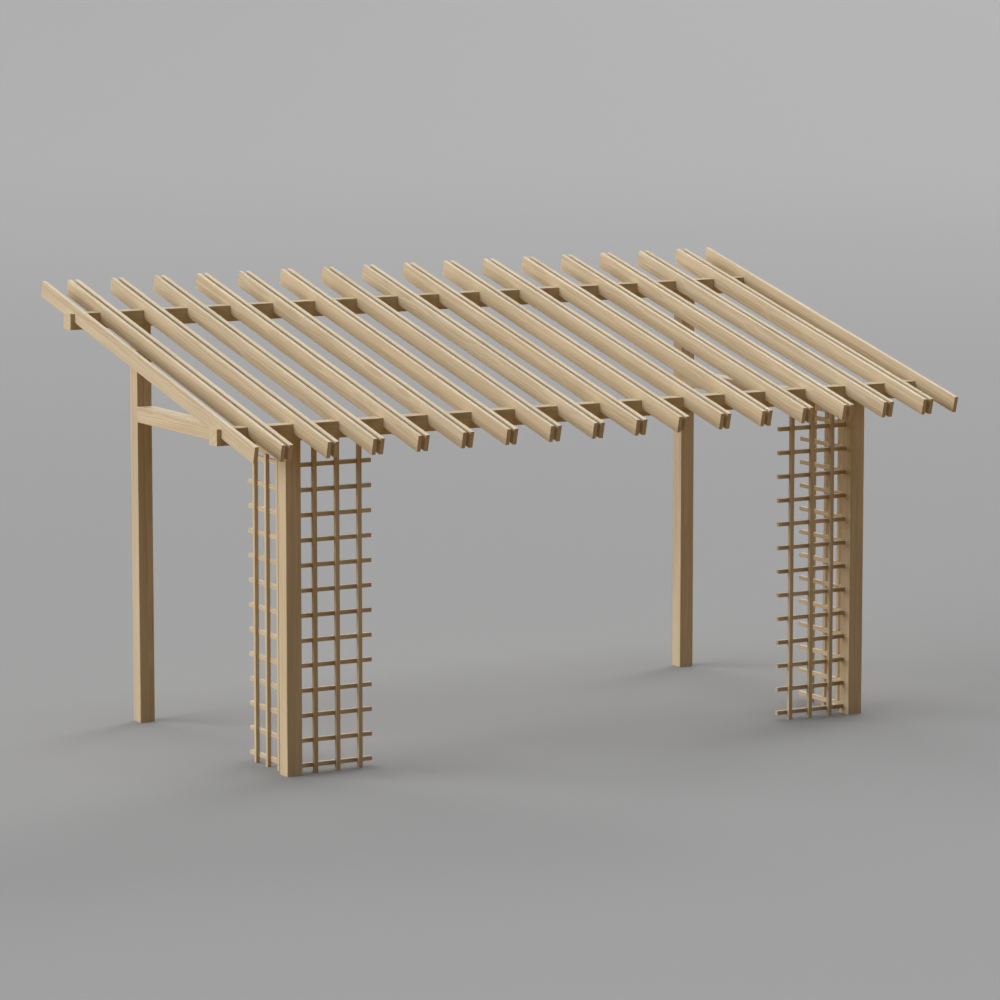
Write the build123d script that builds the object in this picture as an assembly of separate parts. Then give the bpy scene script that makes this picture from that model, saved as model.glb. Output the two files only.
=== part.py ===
from build123d import *
from math import atan, cos, sin
import os

# Wooden pergola: four posts, two beams, two side ties, a sloping roof of paired rafters and
# four trellis panels. Millimetres, +X along the beams, +Y to the high rear side, +Z up.
# The origin is on the ground, under the middle of the roof.

# Posts
frame_length = 4924  # outer face to outer face of the posts, along the beams
frame_depth = 2514  # front face of the front posts to rear face of the rear posts
post_width = 120
front_post_height = 2400
rear_post_height = 3000

# Beams and side ties
beam_width = 120
beam_height = 120
beam_overhang = 538  # past the outer face of the end posts
tie_width = 120
tie_height = 120
timber_edge_ease = 2  # small chamfer along the edges of posts, beams and ties

# Rafters
rafter_thickness = 30
rafter_depth = 120
front_overhang = 487  # lower front corner of a rafter, ahead of the front posts
rear_overhang = 469  # lower rear corner of a rafter, behind the rear posts
notch_depth = 66  # how far a rafter hangs below the beam's top at the beam's front face
notch_clearance = 1  # on both upright sides of a notch
pair_count = 16
pair_gap = 30  # between the two boards of a pair
left_pair_inset = 287  # from the beam's left end to the middle of the first pair
right_pair_inset = 313  # from the beam's right end to the middle of the last pair
left_end_inset = 34  # from the beam's left end to the outer face of the single end rafter there
right_end_inset = 44  # the same at the right end
board_edge_ease = 1
cut_overrun = 10

# Trellis panels
batten_width = 30
rail_length = 600
rail_housing = 6  # how deep the rails are let into the uprights
rail_count = 13
lowest_rail_gap = 40  # from the ground to the lowest rail
highest_rail_gap = 50  # from the highest rail to the underside of the side tie
upright_count = 3
front_upright_gap = 121  # from the post's face to the first upright, in the front panels
front_rail_tip = 89  # what the rails reach past the last upright, in the front panels
side_upright_gap = 94  # the same two sizes in the side panels
side_rail_tip = 116
panel_setback = 45  # from the post's outer face to the uprights

# Places that follow from the sizes
rise = rear_post_height - front_post_height
run = frame_depth - post_width
slope = atan(rise / run)
rafter_run = front_overhang + frame_depth + rear_overhang
rafter_length = rafter_run / cos(slope)
roof_run = rafter_run + rafter_depth * sin(slope)
left_face = -frame_length / 2
front_face = front_overhang + rafter_depth * sin(slope) - roof_run / 2
rear_post_front = front_face + run
beam_length = frame_length + 2 * beam_overhang
beam_end = left_face - beam_overhang
tie_length = run - post_width
tie_underside = front_post_height - tie_height
pair_width = 2 * rafter_thickness + pair_gap
pair_pitch = (beam_length - left_pair_inset - right_pair_inset) / (pair_count - 1)


def timber(corner, across, along, width, height, length, ease):
    """A straight timber with eased long edges: a section drawn from one corner and drawn out along it."""
    section = Rectangle(width, height, align=(Align.MIN, Align.MIN))
    section = chamfer(section.vertices(), ease)
    return extrude(Plane(corner, x_dir=across, z_dir=along) * section, amount=length)


def post(y, height):
    """A left-hand post standing on the ground with its front face at y."""
    corner = (left_face, y, 0)
    return timber(corner, (1, 0, 0), (0, 0, 1), post_width, post_width, height, timber_edge_ease)


def beam(y, underside):
    """A beam along X, flush with the front faces of the posts that it lies on."""
    corner = (beam_end, y, underside)
    return timber(corner, (0, 1, 0), (1, 0, 0), beam_width, beam_height, beam_length, timber_edge_ease)


def side_tie():
    """The left-hand tie between front and rear post, level with the top of the front post."""
    corner = (left_face, front_face + post_width, tie_underside)
    return timber(corner, (0, 0, 1), (0, 1, 0), tie_height, tie_width, tie_length, timber_edge_ease)


def notch(y, seat):
    """What a rafter loses over a beam: upright sides and a level seat on the beam's top."""
    size = (rafter_thickness + 2 * cut_overrun, beam_width + 2 * notch_clearance, notch_depth + cut_overrun)
    cutter = Box(*size, align=(Align.MIN, Align.MIN, Align.MAX))
    return Pos(-cut_overrun, y - notch_clearance, seat) * cutter


def rafter():
    """A sloping board with square ends, notched over both beams, with its left face at x = 0."""
    front_seat = front_post_height + beam_height
    rear_seat = rear_post_height + beam_height
    front_corner = front_face - front_overhang
    lower_edge = front_seat - notch_depth - front_overhang * rise / run
    along = (0, cos(slope), sin(slope))
    upward = (0, -sin(slope), cos(slope))
    corner = (0, front_corner, lower_edge)
    board = timber(corner, upward, along, rafter_depth, rafter_thickness, rafter_length, board_edge_ease)
    return board - notch(front_face, front_seat) - notch(rear_post_front, rear_seat)


def trellis(height, upright_gap, rail_tip):
    """A panel with its rails along +X from a post's face at x = 0 and its uprights on the y = 0 side."""
    upright = Box(batten_width, batten_width, height, align=Align.MIN)
    rail = Box(rail_length, batten_width, batten_width, align=Align.MIN)
    upright_pitch = (rail_length - upright_gap - rail_tip - batten_width) / (upright_count - 1)
    rail_span = tie_underside - highest_rail_gap - lowest_rail_gap - batten_width
    rail_pitch = rail_span / (rail_count - 1)
    uprights = [Pos(X=upright_gap + i * upright_pitch) * upright for i in range(upright_count)]
    rail_setback = batten_width - rail_housing
    rails = [Pos(0, rail_setback, lowest_rail_gap + i * rail_pitch) * rail for i in range(rail_count)]
    return Part() + uprights + rails


def front_trellis():
    """The left-hand panel under the front beam, from the front post towards the middle."""
    panel = trellis(front_post_height, front_upright_gap, front_rail_tip)
    return Pos(left_face + post_width, front_face + panel_setback) * panel


def side_trellis():
    """The left-hand panel under the side tie: X and Y change places, so the rails are inside."""
    diagonal = Plane((0, 0, 0), x_dir=(0, 0, 1), z_dir=(1, -1, 0))
    panel = mirror(trellis(tie_underside, side_upright_gap, side_rail_tip), about=diagonal)
    return Pos(left_face + panel_setback, front_face + post_width) * panel


def both_sides(name, piece):
    """A left-hand piece and its mirror image, named for their sides."""
    return {name.format("left"): piece, name.format("right"): mirror(piece, about=Plane.YZ)}


nodes = {}
nodes.update(both_sides("front_{}_post", post(front_face, front_post_height)))
nodes.update(both_sides("rear_{}_post", post(rear_post_front, rear_post_height)))
nodes["front_beam"] = beam(front_face, front_post_height)
nodes["rear_beam"] = beam(rear_post_front, rear_post_height)
nodes.update(both_sides("{}_tie", side_tie()))

board = rafter()
nodes["left_end_rafter"] = Pos(X=beam_end + left_end_inset) * board
nodes["right_end_rafter"] = Pos(X=beam_end + beam_length - right_end_inset - rafter_thickness) * board
for number in range(pair_count):
    left_board = beam_end + left_pair_inset + number * pair_pitch - pair_width / 2
    right_board = left_board + rafter_thickness + pair_gap
    nodes[f"rafter_pair_{number + 1:02d}"] = Compound([Pos(X=left_board) * board, Pos(X=right_board) * board])

nodes.update(both_sides("front_{}_trellis", front_trellis()))
nodes.update(both_sides("side_{}_trellis", side_trellis()))

os.makedirs("parts", exist_ok=True)
for name, piece in nodes.items():
    export_step(piece, f"parts/{name}.step")
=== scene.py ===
from math import atan2, cos, pi, radians, sin
import bpy
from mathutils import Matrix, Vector


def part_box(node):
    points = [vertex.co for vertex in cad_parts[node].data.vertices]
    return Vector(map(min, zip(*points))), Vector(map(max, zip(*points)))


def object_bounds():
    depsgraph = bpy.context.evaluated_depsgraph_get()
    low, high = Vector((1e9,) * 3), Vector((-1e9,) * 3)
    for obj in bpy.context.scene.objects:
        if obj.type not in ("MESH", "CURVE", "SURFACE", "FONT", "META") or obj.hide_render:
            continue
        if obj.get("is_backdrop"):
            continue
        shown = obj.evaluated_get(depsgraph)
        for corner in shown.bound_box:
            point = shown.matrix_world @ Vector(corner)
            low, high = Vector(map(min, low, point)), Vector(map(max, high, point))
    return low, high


# Looks of the wooden pergola: sawn pale wood on every CAD piece, a grey floor and soft light.
# Metres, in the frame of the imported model: +X along the beams, +Y to the high rear side, +Z up.

# Camera, where the photograph was taken from
camera_place = (-17.447, -30.089, 6.539)
camera_azimuth = radians(-30.10)
camera_elevation = radians(7.980)
sensor_width = 36.0  # millimetres, as the camera counts them
focal_share = 4.6607  # focal length over the picture's width
sight_limit = 900.0

# Sections of the timbers, boards and battens
timber_side = 0.120
rafter_thickness = 0.030
rafter_depth = 0.120
batten_side = 0.030

# Trellis panels, as the CAD part has them
rail_pitch = 0.180
lowest_rail = 0.040
rail_setback = 0.024  # from the uprights' outer faces to the rails' outer faces
upright_pitch = 0.180
front_upright_gap = 0.121  # from the post's face to the first upright
side_upright_gap = 0.094
place_tolerance = 0.0005

# Grain sizes: along the board, through it and across it
fibre_size = (0.22, 0.0045, 0.0045)
streak_size = (1.10, 0.026, 0.026)
blotch_size = (0.55, 0.16, 0.16)
wander_size = (0.90, 0.30, 0.30)
ripple_size = (0.16, 0.035, 0.035)
plain_detail = 2.0  # how many finer noises are laid over a noise
streak_detail = 3.0
ring_width = 0.0085
wander_depth = 0.030
ripple_depth = 0.0030
# width of the paler band along the long edges, which is rubbed wear and also a painted highlight
worn_and_highlit_edge = 0.004
relief_depth = 0.0009
relief_share = 0.70  # how much of the relief is felt

# Where in the trunk a board was cut: the lowest place, and the room above it for chance
trunk_start = (0.0, 0.05, -0.11)
trunk_room = (40.0, 0.12, 0.22)
across_grain = (0.0, 1.0, 1.0)

# Where a mark starts and where it is full, as shares of its noise or of a ring's width
fibre_limit_shares = (0.25, 0.75)
streak_limit_shares = (0.30, 0.70)
blotch_limit_shares = (0.30, 0.70)
ring_rise_shares = (0.15, 0.80)
ring_fall_shares = (1.0, 0.88)
rubbed_and_highlight_limit_shares = (0.30, 0.65)
end_limit_shares = (0.80, 0.95)  # how squarely a face looks along the grain, where it counts as an end

# How far each kind of mark takes the colour from early to late wood
fibre_share = 0.30
ring_share = 0.34
streak_share = 0.44
blotch_share = 0.10

# Wood colours
early_wood = (0.638, 0.532, 0.373, 1.0)
late_wood = (0.465, 0.369, 0.235, 1.0)
tawny_tint = (1.012, 0.994, 0.965, 1.0)
pale_tint = (0.994, 1.002, 1.020, 1.0)
darkest_tone_share = 0.97  # brightness of the darkest board, and how much brighter another may be
tone_room_share = 0.06
rubbed_and_highlight_share = 0.04  # how much paler the rubbed edges are, with a painted highlight along them, and how much painted light makes the sawn ends paler
end_painted_light_share = 0.06
least_roughness = 0.50
mark_roughness = 0.16  # what the darkest marks add to it
specular_level = 0.28
seed_step = 17.31  # between two pieces, so that no two boards are alike
upright_seed = 40.5  # sets a panel's uprights apart from its rails

# Floor and light
floor_half = 800.0
floor_near = (0.275, 0.275, 0.275, 1.0)
floor_far_left = (0.329, 0.329, 0.329, 1.0)
floor_far_right = (0.358, 0.358, 0.358, 1.0)
floor_bounce = (0.230, 0.137, 0.043, 1.0)  # what the floor throws back on the wood
fade_start = 8.0
fade_end = 75.0
fade_centre = (-6.0, -6.0, 0.0)
fade_side = 24.0  # how far to the left and right of the camera's line the far floor changes from grey to grey
backdrop_colour = (0.470, 0.470, 0.470, 1.0)
lamp_spread = radians(30)
lamps = {  # azimuth and elevation of each lamp in degrees, and its strength
    "left": (-90, 20.5, 1.55),
    "left_rear": (-120, 30, 1.14),
    "left_low": (-130, 6, 0.55),
    "rear": (180, 25, 1.00),
    "right_rear": (150, 30, 0.43),
    "right": (120, 18, 1.82),
    "right_high": (135, 65, 0.37),
    "right_front": (60, 6, 0.67),
    "overhead": (0, 89, 1.30),
}

# Numbers of a Mix node's two inputs and of its output, for each kind of value
mix_sockets = {"FLOAT": (2, 3, 0), "VECTOR": (4, 5, 1), "RGBA": (6, 7, 2)}

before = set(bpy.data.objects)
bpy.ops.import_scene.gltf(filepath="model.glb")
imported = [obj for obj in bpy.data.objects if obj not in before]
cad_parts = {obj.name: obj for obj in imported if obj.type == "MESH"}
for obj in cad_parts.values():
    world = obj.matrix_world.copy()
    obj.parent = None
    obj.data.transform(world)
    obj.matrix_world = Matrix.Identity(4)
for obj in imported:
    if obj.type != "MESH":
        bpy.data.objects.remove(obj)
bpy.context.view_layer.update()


class Nodes:
    """Adds nodes to a tree, joins their inputs and gives back one output of each."""

    def __init__(self, tree):
        self.tree = tree

    def add(self, kind, inputs=None, output=0, **settings):
        made = self.tree.nodes.new(kind)
        for name, value in settings.items():
            setattr(made, name, value)
        for socket, value in (inputs or {}).items():
            if isinstance(value, bpy.types.NodeSocket):
                self.tree.links.new(value, made.inputs[socket])
            else:
                made.inputs[socket].default_value = value
        return made.outputs[output] if made.outputs else made

    def math(self, operation, *values):
        return self.add("ShaderNodeMath", dict(enumerate(values)), operation=operation)

    def vector(self, operation, *values):
        return self.add("ShaderNodeVectorMath", dict(enumerate(values)), "Vector", operation=operation)

    def measure(self, operation, *values):
        return self.add("ShaderNodeVectorMath", dict(enumerate(values)), "Value", operation=operation)

    def part(self, axis, vector):
        return self.add("ShaderNodeSeparateXYZ", {"Vector": vector}, axis)

    def joined(self, x, y, z):
        return self.add("ShaderNodeCombineXYZ", {"X": x, "Y": y, "Z": z})

    def chance(self, seed, output):
        return self.add("ShaderNodeTexWhiteNoise", {"W": seed}, output, noise_dimensions="1D")

    def noise(self, place, size, detail):
        scaled = self.vector("DIVIDE", place, size)
        return self.add("ShaderNodeTexNoise", {"Vector": scaled, "Scale": 1.0, "Detail": detail})

    def ramp(self, value, low, high):
        limits = {"Value": value, "From Min": low, "From Max": high}
        return self.add("ShaderNodeMapRange", limits, interpolation_type="SMOOTHSTEP")

    def mix(self, kind, share, first, second, **settings):
        first_input, second_input, output = mix_sockets[kind]
        inputs = {"Factor": share, first_input: first, second_input: second}
        return self.add("ShaderNodeMix", inputs, output, data_type=kind, **settings)


def cleared_nodes(owner):
    """The emptied node tree of a material or of the world."""
    owner.use_nodes = True
    owner.node_tree.nodes.clear()
    return Nodes(owner.node_tree)


def sawn_wood_group():
    """Turns a place in a board, X along its grain, into the colour, roughness and relief of sawn wood."""
    group = bpy.data.node_groups.new("sawn_wood", "ShaderNodeTree")
    for name, kind in (("Place", "Vector"), ("Half section", "Vector"), ("Seed", "Float"), ("End", "Float")):
        group.interface.new_socket(name, in_out="INPUT", socket_type=f"NodeSocket{kind}")
    for name, kind in (("Colour", "Color"), ("Roughness", "Float"), ("Relief", "Float")):
        group.interface.new_socket(name, in_out="OUTPUT", socket_type=f"NodeSocket{kind}")
    nodes = Nodes(group)
    given = group.nodes.new("NodeGroupInput").outputs
    made = group.nodes.new("NodeGroupOutput").inputs

    # each board comes from its own part of the trunk
    chance = nodes.chance(given["Seed"], "Color")
    cut_from = nodes.vector("MULTIPLY_ADD", chance, trunk_room, trunk_start)
    place = nodes.vector("ADD", given["Place"], cut_from)

    # growth rings round the pith, which wander along the trunk
    radius = nodes.measure("LENGTH", nodes.vector("MULTIPLY", place, across_grain))
    wander = nodes.math("MULTIPLY", nodes.noise(place, wander_size, plain_detail), wander_depth)
    ripple = nodes.math("MULTIPLY_ADD", nodes.noise(place, ripple_size, plain_detail), ripple_depth, wander)
    phase = nodes.math("FRACT", nodes.math("DIVIDE", nodes.math("ADD", radius, ripple), ring_width))
    ring = nodes.math("MULTIPLY", nodes.ramp(phase, *ring_rise_shares), nodes.ramp(phase, *ring_fall_shares))

    # finer marks along the grain
    fibre = nodes.noise(place, fibre_size, plain_detail)
    streak = nodes.noise(place, streak_size, streak_detail)
    blotch = nodes.noise(place, blotch_size, plain_detail)
    marks = nodes.math("MULTIPLY", nodes.ramp(fibre, *fibre_limit_shares), fibre_share)
    marks = nodes.math("MULTIPLY_ADD", ring, ring_share, marks)
    marks = nodes.math("MULTIPLY_ADD", nodes.ramp(streak, *streak_limit_shares), streak_share, marks)
    marks = nodes.math("MULTIPLY_ADD", nodes.ramp(blotch, *blotch_limit_shares), blotch_share, marks)
    colour = nodes.mix("RGBA", marks, early_wood, late_wood)

    # boards differ a little in tint and tone
    tint = nodes.mix("RGBA", nodes.part("Y", chance), tawny_tint, pale_tint)
    colour = nodes.mix("RGBA", 1.0, colour, tint, blend_type="MULTIPLY")
    tone = nodes.chance(given["Seed"], "Value")
    brightness = nodes.math("MULTIPLY_ADD", tone, tone_room_share, darkest_tone_share)

    # the long edges are rubbed a little paler, which also paints a highlight along them, and the sawn ends
    # are made paler by painted light
    past_side = nodes.vector("SUBTRACT", nodes.vector("ABSOLUTE", given["Place"]), given["Half section"])
    near_sides = [nodes.ramp(nodes.part(axis, past_side), -worn_and_highlit_edge, 0.0) for axis in ("Y", "Z")]
    rubbed_and_highlit = nodes.math("MULTIPLY", *near_sides)
    rubbed_and_highlit = nodes.math("MULTIPLY", rubbed_and_highlit, nodes.ramp(fibre, *rubbed_and_highlight_limit_shares))
    brightness = nodes.math("MULTIPLY_ADD", rubbed_and_highlit, rubbed_and_highlight_share, brightness)
    end_painted_light = nodes.math("MULTIPLY_ADD", given["End"], end_painted_light_share, 1.0)
    brightness = nodes.math("MULTIPLY", brightness, end_painted_light)
    colour = nodes.add("ShaderNodeVectorMath", {0: colour, "Scale": brightness}, operation="SCALE")

    group.links.new(colour, made["Colour"])
    group.links.new(nodes.math("MULTIPLY_ADD", marks, mark_roughness, least_roughness), made["Roughness"])
    group.links.new(nodes.math("ADD", ring, fibre), made["Relief"])
    return group


def dress(name, place_in_board):
    """Gives a CAD piece its own wood. place_in_board says where in its board a point is."""
    material = bpy.data.materials.new(name + "_wood")
    nodes = cleared_nodes(material)
    position = nodes.add("ShaderNodeTexCoord", output="Object")
    normal = nodes.add("ShaderNodeNewGeometry", output="True Normal")
    place, half_section, seed, along = place_in_board(nodes, position)
    facing = nodes.math("ABSOLUTE", nodes.measure("DOT_PRODUCT", normal, along))
    end = nodes.ramp(facing, *end_limit_shares)
    board = {"Place": place, "Half section": half_section, "Seed": seed, "End": end}
    wood = nodes.add("ShaderNodeGroup", board, node_tree=sawn_wood).node.outputs
    relief = {"Height": wood["Relief"], "Distance": relief_depth, "Strength": relief_share}
    shader = {
        "Base Color": wood["Colour"],
        "Roughness": wood["Roughness"],
        "Specular IOR Level": specular_level,
        "Normal": nodes.add("ShaderNodeBump", relief),
    }
    nodes.add("ShaderNodeOutputMaterial", {"Surface": nodes.add("ShaderNodeBsdfPrincipled", shader)})
    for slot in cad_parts[name].material_slots:
        slot.material = material


def in_board(nodes, position, centre, turn):
    """The place in a board, from its middle, with X along the grain."""
    inputs = {"Vector": position, "Location": centre, "Rotation": turn}
    return nodes.add("ShaderNodeMapping", inputs, vector_type="TEXTURE")


def timber(name, grain, seed):
    """A square post, beam or tie."""
    low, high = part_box(name)
    turn, along = grain
    half_section = (0.0, timber_side / 2, timber_side / 2)

    def place_in_board(nodes, position):
        place = in_board(nodes, position, (low + high) / 2, turn)
        return place, half_section, seed, along

    dress(name, place_in_board)


def rafters(name, grain, seed):
    """A node of one rafter, or of two beside each other, which are told apart by X."""
    low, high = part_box(name)
    centre = (low + high) / 2
    aside = (high.x - low.x - rafter_thickness) / 2
    turn, along = grain
    half_section = (0.0, rafter_thickness / 2, rafter_depth / 2)

    def place_in_board(nodes, position):
        right = nodes.math("GREATER_THAN", nodes.part("X", position), centre.x)
        shift = nodes.math("MULTIPLY_ADD", right, -2 * aside, aside)
        moved = nodes.vector("ADD", position, nodes.joined(shift, 0.0, 0.0))
        place = in_board(nodes, moved, centre, turn)
        return place, half_section, nodes.math("ADD", right, seed), along

    dress(name, place_in_board)


def nearest_batten(nodes, distance, first, pitch):
    """The number of the nearest batten in a row, whose first has its middle there, and the way past it."""
    number = nodes.math("ROUND", nodes.math("DIVIDE", nodes.math("SUBTRACT", distance, first), pitch))
    past = nodes.math("SUBTRACT", distance, nodes.math("MULTIPLY_ADD", number, pitch, first))
    return number, past


def trellis(name, corner, outward, inward, upright_gap, seed):
    """A panel of uprights with rails let into their inner sides: depth and height tell which batten it is."""
    half_section = (0.0, batten_side / 2, batten_side / 2)

    def place_in_board(nodes, position):
        from_corner = nodes.vector("SUBTRACT", position, corner)
        run = nodes.measure("DOT_PRODUCT", from_corner, outward)
        depth = nodes.measure("DOT_PRODUCT", from_corner, inward)
        height = nodes.part("Z", from_corner)

        # which rail and which upright is nearest, and the place in each
        rail, over_rail = nearest_batten(nodes, height, lowest_rail + batten_side / 2, rail_pitch)
        rail_depth = nodes.math("SUBTRACT", depth, rail_setback + batten_side / 2)
        in_rail = nodes.joined(run, rail_depth, over_rail)
        upright, past_upright = nearest_batten(nodes, run, upright_gap + batten_side / 2, upright_pitch)
        upright_depth = nodes.math("SUBTRACT", depth, batten_side / 2)
        in_upright = nodes.joined(height, upright_depth, past_upright)

        # a point is on a rail where it is deep enough and level with one
        deep = nodes.math("GREATER_THAN", depth, rail_setback - place_tolerance)
        level = nodes.math("LESS_THAN", nodes.math("ABSOLUTE", over_rail), batten_side / 2 + place_tolerance)
        on_rail = nodes.math("MULTIPLY", deep, level)
        place = nodes.mix("VECTOR", on_rail, in_upright, in_rail)
        along = nodes.mix("VECTOR", on_rail, (0.0, 0.0, 1.0), outward)
        number = nodes.mix("FLOAT", on_rail, nodes.math("ADD", upright, upright_seed), rail)
        return place, half_section, nodes.math("ADD", number, seed), along

    dress(name, place_in_board)


def from_where(azimuth, elevation):
    """The direction towards something seen at this azimuth and elevation: azimuth 0 is in front."""
    return Vector((sin(azimuth) * cos(elevation), -cos(azimuth) * cos(elevation), sin(elevation)))


def seen_share(nodes):
    """1 for what the camera sees, also mirrored or through glass, and 0 for the light that surfaces throw."""
    path = nodes.add("ShaderNodeLightPath").node.outputs
    mirrored = nodes.math("MAXIMUM", path["Is Glossy Ray"], path["Is Transmission Ray"])
    return nodes.math("MAXIMUM", path["Is Camera Ray"], mirrored)


def grey_floor():
    """A wide grey floor, a little paler far away, where it meets the backdrop."""
    corners = [(x * floor_half, y * floor_half, 0.0) for x, y in ((-1, -1), (1, -1), (1, 1), (-1, 1))]
    mesh = bpy.data.meshes.new("floor")
    mesh.from_pydata(corners, [], [(0, 1, 2, 3)])
    floor = bpy.data.objects.new("floor", mesh)
    bpy.context.scene.collection.objects.link(floor)
    material = bpy.data.materials.new("floor_grey")
    nodes = cleared_nodes(material)
    position = nodes.add("ShaderNodeTexCoord", output="Object")
    distance = nodes.measure("DISTANCE", position, fade_centre)
    aside = nodes.measure("DOT_PRODUCT", position, from_where(camera_azimuth + pi / 2, 0.0))
    far = nodes.mix("RGBA", nodes.ramp(aside, -fade_side, fade_side), floor_far_left, floor_far_right)
    grey = nodes.mix("RGBA", nodes.ramp(distance, fade_start, fade_end), floor_near, far)
    colour = nodes.mix("RGBA", seen_share(nodes), floor_bounce, grey)
    nodes.add("ShaderNodeOutputMaterial", {"Surface": nodes.add("ShaderNodeBsdfDiffuse", {"Color": colour})})
    mesh.materials.append(material)
    floor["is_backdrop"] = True


def soft_room():
    """A dark room, in which the camera sees the backdrop's grey."""
    world = bpy.data.worlds.new("room")
    nodes = cleared_nodes(world)
    backdrop = nodes.add("ShaderNodeBackground", {"Color": backdrop_colour, "Strength": seen_share(nodes)})
    nodes.add("ShaderNodeOutputWorld", {"Surface": backdrop})
    bpy.context.scene.world = world


def soft_lamp(name, azimuth, elevation, strength):
    """A lamp so far away that it lights evenly, and so wide that its shadows are soft."""
    lamp = bpy.data.lights.new(name, "SUN")
    lamp.energy = strength
    lamp.angle = lamp_spread
    holder = bpy.data.objects.new(name, lamp)
    holder.rotation_euler = from_where(azimuth, elevation).to_track_quat("Z", "Y").to_euler()
    bpy.context.scene.collection.objects.link(holder)


def photograph_camera():
    """The camera at the photograph's place and angle."""
    data = bpy.data.cameras.new("camera")
    data.sensor_width = sensor_width
    data.lens = focal_share * sensor_width
    data.clip_end = sight_limit
    camera = bpy.data.objects.new("camera", data)
    camera.location = camera_place
    back = from_where(camera_azimuth, camera_elevation)
    camera.rotation_euler = (-back).to_track_quat("-Z", "Y").to_euler()
    bpy.context.scene.collection.objects.link(camera)
    bpy.context.scene.camera = camera


# Which way the grain runs: the turn of a board's own frame, and its direction
front_post_low, front_post_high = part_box("front_left_post")
rear_post_low, rear_post_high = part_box("rear_left_post")
slope = atan2(rear_post_high.z - front_post_high.z, rear_post_low.y - front_post_low.y)
standing = ((0.0, -pi / 2, 0.0), (0.0, 0.0, 1.0))
lengthwise = ((0.0, 0.0, 0.0), (1.0, 0.0, 0.0))
rearward = ((0.0, 0.0, pi / 2), (0.0, 1.0, 0.0))
sloping = ((0.0, -slope, pi / 2), (0.0, cos(slope), sin(slope)))

# Wood on every piece
sawn_wood = sawn_wood_group()
for number, name in enumerate(sorted(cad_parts)):
    seed = number * seed_step
    if name.endswith("_post"):
        timber(name, standing, seed)
    elif name.endswith("_beam"):
        timber(name, lengthwise, seed)
    elif name.endswith("_tie"):
        timber(name, rearward, seed)
    elif "rafter" in name:
        rafters(name, sloping, seed)
    else:
        low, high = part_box(name)
        on_right = "right" in name
        corner = (high.x if on_right else low.x, low.y, 0.0)
        to_middle = (-1.0 if on_right else 1.0, 0.0, 0.0)
        to_rear = (0.0, 1.0, 0.0)
        if name.startswith("front"):
            trellis(name, corner, to_middle, to_rear, front_upright_gap, seed)
        else:
            trellis(name, corner, to_rear, to_middle, side_upright_gap, seed)

# Floor, light and camera
grey_floor()
soft_room()
for name, (azimuth, elevation, strength) in lamps.items():
    soft_lamp(name, radians(azimuth), radians(elevation), strength)
photograph_camera()
bpy.context.scene.view_settings.view_transform = "Standard"

# Sizes of the dressed part
low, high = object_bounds()
